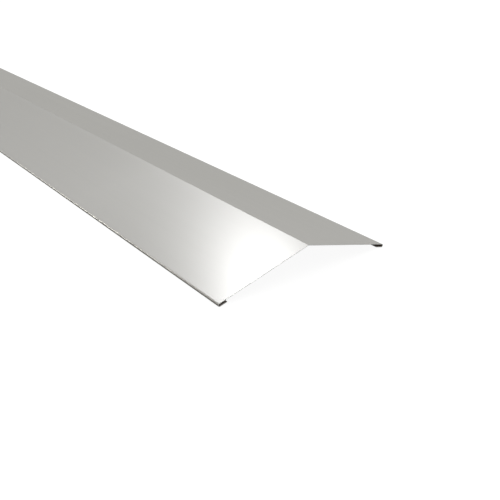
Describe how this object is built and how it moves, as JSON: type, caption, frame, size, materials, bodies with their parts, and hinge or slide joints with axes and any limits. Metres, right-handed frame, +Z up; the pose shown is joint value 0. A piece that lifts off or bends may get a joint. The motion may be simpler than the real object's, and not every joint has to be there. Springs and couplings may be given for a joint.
{
  "type": "roof ridge cap",
  "caption": "Roof ridge cap: a long strip of coated steel sheet bent along its middle into a shallow inverted V, with an open hem folded under each eave edge. It covers a roof's ridge.",
  "frame": {"origin": "middle of the length, midway between the hems, at the level of the floor that the hems' folds stand on", "axes": "+Y along the ridge, +X across it to the right wing, +Z up"},
  "size_m": [0.2884, 2, 0.0435],
  "materials": {
    "coated_steel": "light warm grey coil coating, semi-gloss on the weather side, with bare steel on the sheared edges"
  },
  "bodies": {
    "root": {"ridge_cap": "coated_steel"}
  },
  "joints": []
}
